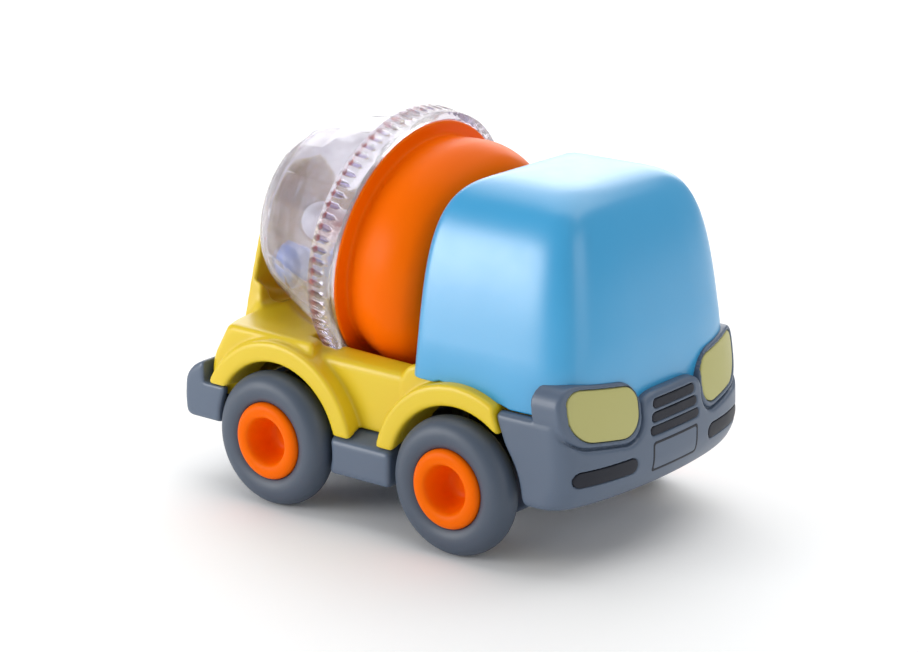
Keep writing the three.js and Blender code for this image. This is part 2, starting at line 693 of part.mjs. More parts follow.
function frontBumper() {
  const wells = wheelDiscs(FENDER.inner, FENDER.insideY - 1.5, 45, [FRONT_X]);
  const keep = sidePrism(
    [[BUMPER.rearX, 60], [BUMPER.rearX, 38], [50, 16], [90, 16], [90, 60]],
    -50,
    50,
  );
  const recesses = union(
    ...slats.map(([, shape]) => frontPrism(shape(GAP), 55, 90)),
    frontPrism(plateShape(GAP), 55, 90).subtract(frontPrism(plateShape(-PLATE_LINE - GAP), 55, 90)),
    ...[1, -1].map((side) => frontPrism(lensShape(side, GAP), 50, 90)),
  ).intersect(layer(-1, INLAY + GAP));
  const underCab = block(0, 90, -50, 50, 0, BUMPER.sideTop);
  return union(layer(0, BUMPER.wall).intersect(underCab), layer(0, BUMPER.upperWall))
    .intersect(frontPrism(bumperFace(0), 20, 90))
    .intersect(keep)
    .subtract(wells)
    .subtract(recesses);
}

// A panel let into the bumper's face.
const flushInlay = (shape) => frontPrism(shape, 50, 90).intersect(layer(0, INLAY));

const inlays = () => [
  ...slats.map(([name, shape]) => piece(name, darkGrey, flushInlay(shape(0)))),
  piece(
    "number_plate_frame",
    darkGrey,
    flushInlay(plateShape(0)).subtract(frontPrism(plateShape(-PLATE_LINE), 55, 90)),
  ),
  ...[["right", -1], ["left", 1]].map(([name, side]) =>
    piece(`headlight_lens_${name}`, cream, flushInlay(lensShape(side, 0))),
  ),
];

// ---------- drum ----------

function drumCone() {
  const front = -DRUM.frontEnd;
  const flange = DRUM.seam - GAP;
  const outer = [
    [flange, 1.2], [flange, 0], [flange - 0.3, -0.3], [30.6, -0.5], [29.9, -1.6], [30.6, -4], [31.6, -8],
    [31.8, -12], [31.1, -16.5], [28.4, -21.6], [21, front],
  ];
  const wall = DRUM.wall;
  const inner = [
    [19.8, front + wall], [27, -20.7], [29.5, -16], [30.1, -11.5], [28.6, -3], [28.6, 1.2],
  ];
  const shell = [[0, front], ...outer.slice().reverse(), ...inner.slice().reverse(), [0, front + wall]];
  const pin = disc(PIN_RADIUS, front - PIN_REACH, front + 1, drumFrame, 16);
  const shoulder = disc(4, front - 1, front + 1, drumFrame, 16);
  return union(turned(shell, drumFrame, 32), pin, shoulder);
}

function drumBowl() {
  const { seam, bandLength, rearEnd, wall } = DRUM;
  const flange = RING_TIP + 0.2;
  const core = RING_ROOT - 0.8; // the shell under the teeth
  const outer = [
    [flange, 0], [flange, FLANGE_LENGTH], [core, FLANGE_LENGTH + 0.3], [core, bandLength - 0.3],
    [32, bandLength + 0.3], [28.9, 21], [26.1, 30], [23.2, 35.9], [19.5, 37.8], [14, 38.7], [6, rearEnd],
  ];
  const inner = [
    [6, rearEnd - wall], [13.5, 37.1], [18.6, 36.2], [21.9, 34.7], [24.5, 29.5], [27.3, 20.6],
    [30.1, bandLength - 2.6], [30.1, 1.5],
  ];
  const shell = [[seam, 0], ...outer, [0, rearEnd], [0, rearEnd - wall], ...inner, [seam, 1.5], [seam, 0]];
  const start = FLANGE_LENGTH - 0.2;
  const ringShape = toothedShape(RING_TEETH, RING_ROOT, RING_TIP, 0.85, 0.45);
  const ring = extruded(ringShape, bandLength - start).translate(0, 0, start);
  const teeth = solid(ring.applyMatrix4(drumFrame)).subtract(disc(core - 1.4, 0, 10, drumFrame, 32));
  const pin = disc(PIN_RADIUS, rearEnd - 1, rearEnd + 4.8, drumFrame, 16);
  const shoulder = disc(4, rearEnd - 0.5, rearEnd + 0.8, drumFrame, 16);
  return union(turned(shell, drumFrame, 32), teeth, pin, shoulder);
}

// Name, place along the drum, inner radius of the wall there, degrees from the lowest line to the right.
const balls = [
  ["ball_front", -13, 29.5, 0, ballBlue],
  ["ball_middle", 15.4, 27.7, 105, ballWhite],
  ["ball_rear", 26.2, 25, 60, ballBlue],
];

// A loose ball against the drum's wall.
function ball([name, along, wallRadius, degrees, material]) {
  const out = wallRadius - BALL_RADIUS - 0.4;
  const angle = (degrees * PI) / 180;
  const at = nearDrum(along, out * cos(angle)).addScaledVector(Y_AXIS, -out * sin(angle));
  const sphere = new THREE.SphereGeometry(BALL_RADIUS, 12, 8).translate(at.x, at.y, at.z);
  return piece(name, material, solid(sphere));
}

// ---------- friction drive ----------

const yFrame = ({ x, z }) => frameAlong(new THREE.Vector3(x, 0, z), Y_AXIS);

function axleGear() {
  const frame = yFrame({ x: REAR_X, z: AXLE_Z });
  const gear = union(spurGear(AXLE_GEAR_TEETH, SPUR_MODULE, 6.9, 9, frame), disc(3, 6.2, 9.2, frame, 16));
  return piece("axle_gear", whitePlastic, gear.subtract(disc(AXLE_RADIUS + PRESS, 0, 20, frame, 16)));
}

// Direction from one cross shaft to another, in turns in a y frame.
const turnsTo = (from, to) => Math.atan2(from.z - to.z, to.x - from.x) / (2 * PI);

// Phase, in tooth pitches, of a gear in mesh with one that has a tooth on its x axis.
// The second gear's centre lies from the first's in the direction given in turns.
const meshPhase = (turns, teethFrom, teethTo) => (turns + 0.5) * teethTo + turns * teethFrom - 0.5;

const REAR_AT = { x: REAR_X, z: AXLE_Z };
const STEP_PHASE = meshPhase(turnsTo(REAR_AT, STEP_AT), AXLE_GEAR_TEETH, STEP_PINION_TEETH);
const CROSS_PHASE = meshPhase(turnsTo(REAR_AT, CROSS_AT), AXLE_GEAR_TEETH, CROSS_GEAR_TEETH);
const FLY_PHASE = meshPhase(turnsTo(STEP_AT, FLY_AT), STEP_GEAR_TEETH, FLY_PINION_TEETH);
const RING_PHASE = meshPhase(0.25, RING_TEETH, RING_PINION_TEETH); // the shaft is on +y in the drum's frame
const CROWN_PHASE = 0.5; // a gap faces the crown, which has a tooth there

// Spur gear with a crown of face teeth on its right side.
function crossGear() {
  const frame = yFrame(CROSS_AT);
  const pitchY = CROWN_PINION_RADIUS;
  const parts = [
    spurGear(CROSS_GEAR_TEETH, SPUR_MODULE, 6.9, 9, frame, CROSS_PHASE),
    disc(CROWN_RADIUS + 1.1, pitchY + 1, 6.9, frame, 24),
  ];
  const [foot, tip] = [pitchY + 1.1, pitchY - 0.5];
  const tooth = outline([[-0.5, foot], [-0.2, tip], [0.2, tip], [0.5, foot]]);
  for (let i = 0; i < CROWN_TEETH; i++) {
    const bar = extruded(tooth, 2).translate(0, 0, CROWN_RADIUS - 1);
    const angle = TILT + (2 * PI * i) / CROWN_TEETH;
    const radial = new THREE.Vector3(cos(angle), sin(angle), 0);
    const along = new THREE.Vector3(0, 0, 1);
    const sideways = new THREE.Vector3().crossVectors(along, radial);
    const place = new THREE.Matrix4().makeBasis(sideways, along, radial).premultiply(frame);
    parts.push(solid(bar.applyMatrix4(place)));
  }
  const bore = disc(SHAFT_RADIUS + PRESS, 0, 20, frame, 16);
  return piece("cross_gear", whitePlastic, union(...parts).subtract(bore));
}

function drumPinions() {
  const frame = frameAlong(nearDrum(0, SHAFT_DROP), DRUM_AXIS);
  const bore = disc(SHAFT_RADIUS + PRESS, -5, 30, frame, 16);
  const pinion = (teeth, module, middle, half, phase) =>
    spurGear(teeth, module, middle - half, middle + half, frame, phase).subtract(bore);
  return [
    piece("ring_pinion", whitePlastic, pinion(RING_PINION_TEETH, RING_MODULE, RING_MIDDLE, 1.9, RING_PHASE)),
    piece(
      "crown_pinion",
      whitePlastic,
      pinion(CROWN_PINION_TEETH, CROWN_MODULE, CROWN_PINION_ALONG, 1.3, CROWN_PHASE),
    ),
    piece("drive_shaft", steel, disc(SHAFT_RADIUS, RING_MIDDLE - 5.6, CROWN_PINION_ALONG + 1.7, frame, 16)),
  ];
}

// A shaft that reaches from one side plate to the other.
const plateShaft = (name, at, radius) =>
  piece(name, steel, crossBar(at.x, at.z, radius, PLATE_RIGHT[0], PLATE_LEFT[1], 12));

const thinBore = (at) => crossBar(at.x, at.z, THIN_SHAFT_RADIUS + PRESS, -20, 20, 12);

const drivePieces = () => [
  plateShaft("cross_shaft", CROSS_AT, SHAFT_RADIUS),
  plateShaft("step_shaft", STEP_AT, THIN_SHAFT_RADIUS),
  piece(
    "step_up_gear",
    whitePlastic,
    union(
      spurGear(STEP_PINION_TEETH, SPUR_MODULE, 6.9, 9.4, yFrame(STEP_AT), STEP_PHASE),
      spurGear(STEP_GEAR_TEETH, FLY_MODULE, 9.4, 11.4, yFrame(STEP_AT)),
    ).subtract(thinBore(STEP_AT)),
  ),
  piece("flywheel", steel, crossBar(FLY_AT.x, FLY_AT.z, 6.2, -6.5, 5.5, 28).subtract(thinBore(FLY_AT))),
  piece(
    "flywheel_pinion",
    steel,
    spurGear(FLY_PINION_TEETH, FLY_MODULE, 9.2, 11.6, yFrame(FLY_AT), FLY_PHASE).subtract(thinBore(FLY_AT)),
  ),
  plateShaft("flywheel_shaft", FLY_AT, THIN_SHAFT_RADIUS),
];

function sidePlate(name, [y0, y1]) {
  const low = BASE_TOP + GAP;
  const plate = sidePrism(
    [[-39.5, low], [-7, low], [-7, 21], [-18, 23.5], [-31, 30], [-33, 31.5], [-39.5, 31.5]],
    y0,
    y1,
  );
  const bores = [
    [REAR_X, AXLE_Z, AXLE_RADIUS],
    [CROSS_AT.x, CROSS_AT.z, SHAFT_RADIUS],
    [STEP_AT.x, STEP_AT.z, THIN_SHAFT_RADIUS],
    [FLY_AT.x, FLY_AT.z, THIN_SHAFT_RADIUS],
  ].map(([x, z, radius]) => crossBar(x, z, radius + RUNNING, y0 - 1, y1 + 1, 16));
  return piece(name, whitePlastic, plate.subtract(union(...bores)));
}

// ---------- the truck ----------

const truck = new THREE.Group();
truck.position.x = CENTRE_SHIFT;
truck.add(
  piece("upper_body", yellow, upperBody()),
  piece("base_plate", grey, basePlate()),
  piece("cab_shell", blue, cab()),
  piece("front_bumper", grey, frontBumper()),
  ...inlays(),
  ...wheel("front_right", FRONT_X, -1),
  ...wheel("front_left", FRONT_X, 1),
  ...wheel("rear_right", REAR_X, -1),
  ...wheel("rear_left", REAR_X, 1),
  axle("front_axle", FRONT_X),
  axle("rear_axle", REAR_X),
  piece("drum_bowl", clear, drumBowl()),
  piece("drum_cone", orange, drumCone()),
  ...balls.map(ball),
  axleGear(),
  crossGear(),
  ...drumPinions(),
  ...drivePieces(),
  sidePlate("drive_plate_right", PLATE_RIGHT),
  sidePlate("drive_plate_left", PLATE_LEFT),
  ...SCREW_PLACES.map((_, index) => screw(index)),
);

const part = new THREE.Group();
part.add(truck);

export default part;
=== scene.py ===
"""Toy cement mixer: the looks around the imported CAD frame.

Shapes are worked out in millimetres in the truck's own frame, where x = 0 is midway between the axles,
and become metres in the row frame when their mesh is made.
"""

import json
import math

import bpy
import numpy as np
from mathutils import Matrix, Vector


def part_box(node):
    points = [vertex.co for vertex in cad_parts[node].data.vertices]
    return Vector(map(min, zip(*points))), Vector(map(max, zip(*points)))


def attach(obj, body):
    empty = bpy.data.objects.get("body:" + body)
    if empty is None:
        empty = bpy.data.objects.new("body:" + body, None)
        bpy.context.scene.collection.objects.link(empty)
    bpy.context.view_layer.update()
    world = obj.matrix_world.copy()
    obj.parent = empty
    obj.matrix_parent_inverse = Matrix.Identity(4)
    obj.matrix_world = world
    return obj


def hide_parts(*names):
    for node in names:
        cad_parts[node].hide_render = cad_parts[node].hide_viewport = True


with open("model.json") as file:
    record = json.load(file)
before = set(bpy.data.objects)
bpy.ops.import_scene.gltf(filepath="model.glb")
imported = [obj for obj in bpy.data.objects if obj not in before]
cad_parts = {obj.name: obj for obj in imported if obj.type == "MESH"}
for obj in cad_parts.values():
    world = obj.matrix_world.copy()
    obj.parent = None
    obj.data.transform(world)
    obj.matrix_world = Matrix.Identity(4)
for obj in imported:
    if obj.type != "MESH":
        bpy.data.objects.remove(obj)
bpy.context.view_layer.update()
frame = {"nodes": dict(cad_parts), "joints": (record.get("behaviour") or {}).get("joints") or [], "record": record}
joints = {j["name"]: j for j in frame["joints"]}

# ---------- places from the frame ----------

FRONT_AXLE = np.array(joints["front_wheels_roll"]["pos_m"]) * 1000
REAR_AXLE = np.array(joints["rear_wheels_roll"]["pos_m"]) * 1000
SHIFT = (FRONT_AXLE[0] + REAR_AXLE[0]) / 2
HALF_BASE = (FRONT_AXLE[0] - REAR_AXLE[0]) / 2
AXLE_Z = FRONT_AXLE[2]
DRUM_SPIN = joints["drum_spin"]
DRUM_AT = np.array(DRUM_SPIN["pos_m"]) * 1000 - [SHIFT, 0, 0]
TO_REAR = -np.array(DRUM_SPIN["axis"])
TO_REAR = TO_REAR / np.linalg.norm(TO_REAR)

# ---------- sizes, in millimetres ----------

BODY_HALF = 34  # recessed side face
REAR_HALF = 36
FENDER_FACE = 39
FENDER_OUTER = 25.8
FENDER_INNER = 20.2
FENDER_OPEN = 23  # the wheel arches open into the hollow under the body from here outwards
BELLY_Z = 8.5
BELLY_WALL = 1.8
STEP_FACE = 39.2
DECK_Z = 43.6
PLATEAU_Z = 44.8
CLEARANCE = 1.2  # round the drum
CRADLE_SKIN = 1.5
REAR_WALL = 1.8
PYLON_HALF = 15.5
PYLON_TOP = 66  # centre of its round top
PYLON_WALL = 3.5
PYLON_BACK = [(-59.2, 34), (-57.5, 53), (-55, 66), (-52.2, 86)]
PYLON_FRONT = -52.5  # upright up to PYLON_BEND, then leaning forward
PYLON_BEND = 60

CAB_BASE = 38
CAB_MIDDLE = 36
CAB_HEIGHT = 53.9
CAB_FRONT = 31.5  # reach forward from CAB_MIDDLE at the base
CAB_REAR = 23.3
CAB_HALF = 36.6
FRONT_LEAN = 0.13  # inwards, for each millimetre of height
REAR_LEAN = 0.03
SIDE_LEAN = 0.116
FRONT_CORNER = (6, 9)  # powers of the front corners along x and y
REAR_CORNER = 16  # power of the rear corners, nearly square
ROOF_POWER = 5.1

NOSE = 69.27
BUMPER_BOTTOM = 16.9
BUMPER_TOP = 39.7
BUMPER_SIDE = 38.2
BUMPER_WALL = 3
LENS_Y = 24.8
LENS_Z = 40
LENS_HALF = (10.9, 6.4)
LENS_TILT = 0.13  # how much it rises outwards
RIM_Y = 25.5  # middle of the bezel, which is wider on its outer side
RIM_HALF = (12.6, 7.7)

PLATE_Z = 25.9
PLATE_HALF = (9.9, 4)

# slats and fog lamps on the bumper's face: middle in y and z, half-width, half-height
BARS = {
    "grille_slat_upper": (0, 39.2, 9, 1.1),
    "grille_slat_middle": (0, 35.9, 9.8, 1.1),
    "grille_slat_lower": (0, 32.6, 10.5, 1.1),
    "fog_lamp_right": (-25.6, 25.6, 10, 1.9),
    "fog_lamp_left": (25.6, 25.6, 10, 1.9),
}

TYRE_HEIGHT = 9  # of its section, before the seat is made flat
TYRE_HALF_WIDTH = 4.6
TYRE_SEAT = 10.35  # radius
TYRE_POWER = 2.1  # a little squarer than an ellipse

RING_TEETH = 75
RING_TIP = 35.98
BAND = 7.3  # length of the toothed band
FLANGE = 2.3  # plain part of it, in front of the teeth
BOWL_FACETS = 20

# ---------- meshes ----------


def finish_mesh(name, points, faces, body, replaced, slot):
    """A smooth mesh from points in the truck's frame, riding on a CAD body, with its slot's look."""
    points = (np.asarray(points, float) + [SHIFT, 0, 0]) / 1000
    mesh = bpy.data.meshes.new(name)
    mesh.from_pydata(points.tolist(), [], [list(f) for f in faces])
    mesh.validate()
    mesh.polygons.foreach_set("use_smooth", [True] * len(mesh.polygons))
    mesh.materials.append(LOOKS[slot])
    piece = bpy.data.objects.new(name, mesh)
    bpy.context.scene.collection.objects.link(piece)
    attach(piece, body)
    if replaced:
        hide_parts(*replaced)
    return piece


CORNERS = np.array([[i, j, k] for i in (0, 1) for j in (0, 1) for k in (0, 1)])
EDGES = [(a, b) for a in range(8) for b in range(a + 1, 8) if abs(CORNERS[a] - CORNERS[b]).sum() == 1]


def skin(field, low, high, step):
    """Points and quads of the surface where a distance field is zero (surface nets)."""
    axes = [np.arange(a - 2 * step, b + 3 * step, step) for a, b in zip(low, high)]
    x, y, z = np.meshgrid(*axes, indexing="ij", sparse=True)
    d = np.asarray(field(x, y, z), np.float32)
    inside = d < 0
    near = [inside[i : i - 1 or None, j : j - 1 or None, k : k - 1 or None] for i, j, k in CORNERS]
    active = np.logical_or.reduce(near) & ~np.logical_and.reduce(near)
    cells = np.argwhere(active)
    values = np.stack([d[tuple((cells + c).T)] for c in CORNERS], 1)
    total = np.zeros((len(cells), 3))
    count = np.zeros(len(cells))
    for a, b in EDGES:
        va, vb = values[:, a], values[:, b]
        crossed = (va < 0) != (vb < 0)
        t = np.where(crossed, va / np.where(crossed, va - vb, 1), 0)
        total += crossed[:, None] * (CORNERS[a] + t[:, None] * (CORNERS[b] - CORNERS[a]))
        count += crossed
    points = np.array([a[0] for a in axes]) + (cells + total / count[:, None]) * step
    number = np.full(active.shape, -1, np.int32)
    number[active] = np.arange(len(cells))
    faces = []
    for axis in range(3):
        u, v = np.eye(3, dtype=int)[[(axis + 1) % 3, (axis + 2) % 3]]
        here = [slice(1, -1)] * 3
        here[axis] = slice(0, -1)
        beyond = [slice(1, -1)] * 3
        beyond[axis] = slice(1, None)
        start, end = inside[tuple(here)], inside[tuple(beyond)]
        at = np.argwhere(start != end)
        outward = start[start != end]
        at = at + (1 - np.eye(3, dtype=int)[axis])
        quad = np.stack([number[tuple((at - s).T)] for s in (u + v, v, u * 0, u)], 1)
        faces.append(np.where(outward[:, None], quad, quad[:, ::-1]))
    return points, np.concatenate(faces)


def mirrored_skin(field, low, high, step):
    """The same for a field that is even in y: low and high hold for the left half."""
    return skin(lambda x, y, z: field(x, np.abs(y), z), (low[0], -high[1], low[2]), high, step)


def grid_faces(rows, columns, closed_rows=False):
    """Quads between rings of points; closed_rows joins the last ring to the first."""
    faces = []
    for r in range(rows if closed_rows else rows - 1):
        for c in range(columns):
            a, b = r * columns + c, r * columns + (c + 1) % columns
            up = ((r + 1) % rows) * columns
            faces.append((a, b, up + (c + 1) % columns, up + c))
    return faces


def axis_frame(at, axis):
    """Matrix whose z runs along the axis through a point."""
    turn = Vector(axis).to_track_quat("Z", "Y").to_matrix()
    return np.array(turn), np.array(at, float)


def spun(profile, at, axis, count, closed=True, radius=None):
    """Points and faces of a profile of [radius, height] turned round an axis."""
    turn, origin = axis_frame(at, axis)
    angle = np.linspace(0, 2 * math.pi, count, endpoint=False)
    profile = np.asarray(profile, float)
    r = profile[:, :1] * np.ones(count)
    if radius is not None:
        r = radius(r, profile[:, 1:], angle[None, :])
    h = profile[:, 1:] * np.ones(count)
    local = np.stack([r * np.cos(angle), r * np.sin(angle), h], -1).reshape(-1, 3)
    return local @ turn.T + origin, grid_faces(len(profile), count, closed)


def rounded(points, per_span=6):
    """A smooth curve through the points (Catmull-Rom)."""
    p = np.array([points[0], *points, points[-1]], float)
    out = []
    for i in range(1, len(p) - 2):
        for t in np.linspace(0, 1, per_span, endpoint=False):
            a = 2 * p[i]
            b = p[i + 1] - p[i - 1]
            c = 2 * p[i - 1] - 5 * p[i] + 4 * p[i + 1] - p[i + 2]
            e = -p[i - 1] + 3 * p[i] - 3 * p[i + 1] + p[i + 2]
            out.append(0.5 * (a + b * t + c * t**2 + e * t**3))
    out.append(p[-1])
    return np.array(out)


# ---------- distance fields ----------


def smin(k, *fields):
    """Union with a fillet."""
    whole = fields[0]
    for f in fields[1:]:
        h = np.maximum(k - np.abs(whole - f), 0) / k
        whole = np.minimum(whole, f) - h * h * k / 4
    return whole


def smax(k, *fields):
    """Intersection with rounded edges."""
    return -smin(k, *[-f for f in fields])


def cut(k, whole, hole):
    return smax(k, whole, -hole)


def between(v, low, high):
    return np.maximum(low - v, v - high)


def box(x, y, z, low, high):
    """Box between two corners, its edges rounded a little."""
    return smax(0.5, between(x, low[0], high[0]), between(y, low[1], high[1]), between(z, low[2], high[2]))


def half_planes(u, v, points):
    """Distances to the sides of a convex outline given anticlockwise, positive outside."""
    sides = []
    for (u0, v0), (u1, v1) in zip(points, points[1:] + points[:1]):
        length = math.hypot(u1 - u0, v1 - v0)
        sides.append(((v1 - v0) * (u - u0) - (u1 - u0) * (v - v0)) / length)
    return sides


def convex(k, u, v, points):
    """Prism of a convex outline with rounded corners."""
    return smax(k, *half_planes(u, v, points))


def wheel_disc(x, z, radius):
    """Discs round both axles, endless along y."""
    front = np.hypot(x - HALF_BASE, z - AXLE_Z) - radius
    rear = np.hypot(x + HALF_BASE, z - AXLE_Z) - radius
    return np.minimum(front, rear)


def drum_space(x, y, z, grow):
    """The solid of revolution that the drum sweeps, grown all round."""
    dx, dz = x - DRUM_AT[0], z - DRUM_AT[2]
    along = dx * TO_REAR[0] + dz * TO_REAR[2]
    radius = np.sqrt(y * y + (dz * TO_REAR[0] - dx * TO_REAR[2]) ** 2)
    cone = np.maximum(radius - 33.9 + 0.05 * np.abs(along), between(along, -24.3, 1))
    ring = np.maximum(radius - RING_TIP, between(along, 0.6, BAND))
    bowl = np.maximum((radius - 33.8 + 0.23 * along) * 0.97, between(along, BAND - 1, 39))
    return smin(0.6, cone, ring, bowl) - grow


# ---------- yellow upper body ----------


def tombstone(x, y, z, half, top, back):
    """Straight sides that lean in, a round top, and a back given as points in x and z."""
    lean = (y - (half + 3.5 - (z - 38) / 8)) * 0.992
    across = np.where(z > top, np.hypot(y, z - top) - half, lean)
    front = [(-40, 86), (-40, 34)]
    return smax(1.2, across, convex(1, x, z, (back + front)[::-1]))


def pylon_field(x, y, z):
    """Wall behind the drum that carries its rear pin, hollow towards the drum."""
    forward = x - PYLON_FRONT
    front = np.minimum(forward, (forward - (z - PYLON_BEND) * 0.33) * 0.95)
    solid = smax(1, tombstone(x, y, z, PYLON_HALF, PYLON_TOP, PYLON_BACK), front)
    (x0, z0), (x1, z1), (x2, z2), (x3, z3) = PYLON_BACK
    inner_back = [(x0 + 3.2, z0), (x1 + 3.2, z1), (x2 + 2.24, z2), (x3 + 2.24, z3)]
    hollow = tombstone(x, y, z, PYLON_HALF - PYLON_WALL, PYLON_TOP - 2, inner_back)
    return np.maximum(cut(1.2, solid, hollow), 36 - z)


def rear_block_field(x, y, z):
    """Rear of the body: rounded in plan, upright at first and then sloping in towards the plateau."""
    side_view = [(-58.3, 20), (-22.5, 20), (-22.5, PLATEAU_Z), (-52.1, PLATEAU_Z), (-58.3, 34)]
    rounding = 4.3 * (y / REAR_HALF) ** 4
    return smax(1.8, convex(1.8, x - rounding, z, side_view), y - REAR_HALF)


def hem(y):
    """Height of the lower edge between the wheels: it falls away outwards, like the steps below it."""
    return 24.7 - np.maximum(y - 33, 0) * 0.4


def deck_field(x, y, z):
    """Flat deck between the rear block and the cab, its edge falling away outwards."""
    crown = (z - 41.7 + (y - 33) * 0.42) * 0.92
    return smax(1.6, y - BODY_HALF, z - DECK_Z, crown, between(x, -30, 30))


def cab_platform_field(x, y, z):
    """Raised seat of the cab, which slopes down to the front."""
    shoulder = smax(2, z - 45, 8.8 - x, (z - 45 + (11.8 - x)) * 0.7)
    slope = (z - 45 + (x - 36) * 0.36) * 0.94
    return smax(1.2, shoulder, slope, y - 34.2, x - 57.6)


def lower_edge_field(x, y, z):
    """What lies above the body's lower edge: at the rear wheels, between the wheels, and at both ends."""
    rear = box(x, y, z, (-54.9, -1, 28.2), (-30, 60, 90))
    middle = np.maximum(between(x, -35, 42.8), hem(y) - z)
    front_end = box(x, y, z, (41, -1, 23.9), (60, 33, 60))
    rear_end = box(x, y, z, (-60, -1, 24), (-45, 33, 60))
    return np.minimum(np.minimum(rear, middle), np.minimum(front_end, rear_end))


def bumper_seam(x, z, start):
    """Everything in front of the seam between body and bumper, which leans back below z = 38.5."""
    return np.maximum(start - x, (start + (38.5 - z) * 0.382 - x) * 0.934)


def upper_body_field(x, y, z):
    """Rear block, deck, platform, fenders and pylon, less the hollow, the drum's room and the arches."""
    rear = rear_block_field(x, y, z)
    body = smin(1.2, rear, deck_field(x, y, z))
    body = smin(0.6, body, cab_platform_field(x, y, z))
    fender = smax(1.3, wheel_disc(x, z, FENDER_OUTER), y - FENDER_FACE, 20 - y)
    body = smin(0.6, body, fender)
    body = smax(1.2, body, lower_edge_field(x, y, z))
    body = cut(0.5, body, np.maximum(bumper_seam(x, z, 41.5), 33.1 - y))
    body = smin(4, body, pylon_field(x, y, z))
    cavity = box(x, y, z, (-55.5, -1, 0), (56, 25.9, 38.6))
    cavity = np.maximum(cavity, np.minimum(rear + REAR_WALL, -32 - x))
    body = cut(0.8, body, cut(0.8, cavity, drum_space(x, y, z, CLEARANCE + CRADLE_SKIN)))
    body = cut(0.8, body, drum_space(x, y, z, CLEARANCE))
    body = cut(1.2, body, smax(0.8, wheel_disc(x, z, FENDER_INNER), FENDER_OPEN - y))
    front_pin_post = box(x, y, z, (18.2, -1, 36), (21.4, 6, 63))
    return np.minimum(body, front_pin_post)


# ---------- grey base plate, steps and rear bumper ----------


def tray_field(x, y, z):
    """Shallow tray under the body; its underside rises towards the front."""
    ramp = np.maximum(x - 37.5, 0) * 0.6
    tray = smax(1.2, between(x, -55, 58), y - 26.5, z - 23.6, (BELLY_Z + ramp - z) * 0.97)
    floor = BELLY_Z + BELLY_WALL
    hollow = smax(0.5, between(x, -53.1, 56.1), y - 24.6, (floor + ramp - z) * 0.97)
    return cut(0.5, tray, hollow)


def step_field(x, y, z):
    """Side step between the wheels, with a skirt that slopes down and in to the tray."""
    step = smax(1.3, y - STEP_FACE, z - hem(y) + 0.4, 12.5 - z)
    skirt = smax(1, y - 30, BELLY_Z - z, z - 20, (y - 27.5 - (z - BELLY_Z) * 0.75) * 0.8)
    step = smax(1.6, np.minimum(step, skirt), between(x, -12.6, 9.2), 20 - y)
    return cut(1.2, step, np.maximum(wheel_disc(x, z, 19.3), 26.6 - y))


def rear_bumper_field(x, y, z):
    """Bar across the back, open behind the wheels and where the body stands in it."""
    top = [(-47, 37), (-58, 33), (-61.1, 30.4)]
    side_view = [(-47, 17.6), *top, (-62.9, 26.5), (-62.9, 19.6), (-61.6, 17.6)]
    plan = [(-47, -1), (-47, 38.2), (-62.6, 38.2), (-62.9, 12), (-62.9, -1)]
    bar = smax(1.6, convex(1.6, x, z, side_view), convex(1.6, x, y, plan))
    bar = cut(1, bar, np.maximum(wheel_disc(x, z, FENDER_INNER), 26.5 - y))
    bar = cut(0.3, bar, rear_block_field(x, y, z) - 0.35)
    bar = cut(0.3, bar, box(x, y, z, (-55.3, -1, 27.9), (-40, 40, 60)))
    return cut(0.5, bar, box(x, y, z, (-57, -1, 12), (-40, 25, 40)))


def base_plate_field(x, y, z):
    """Tray, steps and rear bumper as one moulding, with its holes."""
    plate = smin(0.8, tray_field(x, y, z), step_field(x, y, z), rear_bumper_field(x, y, z))
    holes = np.maximum(wheel_disc(x, z, 1.7), y - 30)  # for the axles, then for the screws
    for at_x, at_y in ((-48, 19), (2, 21), (36, 19)):
        holes = np.minimum(holes, np.maximum(np.hypot(x - at_x, y - at_y) - 2.7, z - 10))
    return cut(0.3, plate, holes)


# ---------- cab ----------


def cab_bottom(x):
    """Height of the cab's lower edge: over the fender, then level above the bumper."""
    arch = AXLE_Z + np.sqrt(np.maximum((FENDER_OUTER + 0.3) ** 2 - (x - HALF_BASE) ** 2, 0))
    level = np.where(x < HALF_BASE, 42.4, 40.0)
    return np.maximum(level, arch)


def cab_points(rise, inset, angle):
    """A level ring of the cab: a squarish oval that leans in and closes towards the roof."""
    scale = (1 - np.minimum(rise / CAB_HEIGHT, 1) ** ROOF_POWER) ** (1 / ROOF_POWER)
    c, s = np.cos(angle), np.sin(angle)
    forward = c > 0
    reach = np.where(forward, CAB_FRONT - FRONT_LEAN * rise, CAB_REAR - REAR_LEAN * rise)
    length = reach * scale - inset
    half = (CAB_HALF - SIDE_LEAN * rise) * scale - inset
    power_x, power_y = [np.where(forward, power, REAR_CORNER) for power in FRONT_CORNER]
    y = np.sign(s) * half * np.abs(s) ** (2 / power_y)
    bow = np.where(forward, 1.6 * (y / 25) ** 2 + 0.2 * (y / 25) ** 6, 0)
    x = CAB_MIDDLE + np.sign(c) * (length - bow) * np.abs(c) ** (2 / power_x)
    height = CAB_BASE + rise + 0 * x
    behind_bumper = (height < BUMPER_TOP + 10) & forward
    limit = bumper_front(y, height) - 2.6 - inset
    return np.stack([np.where(behind_bumper, np.minimum(x, limit), x), y, height], -1)


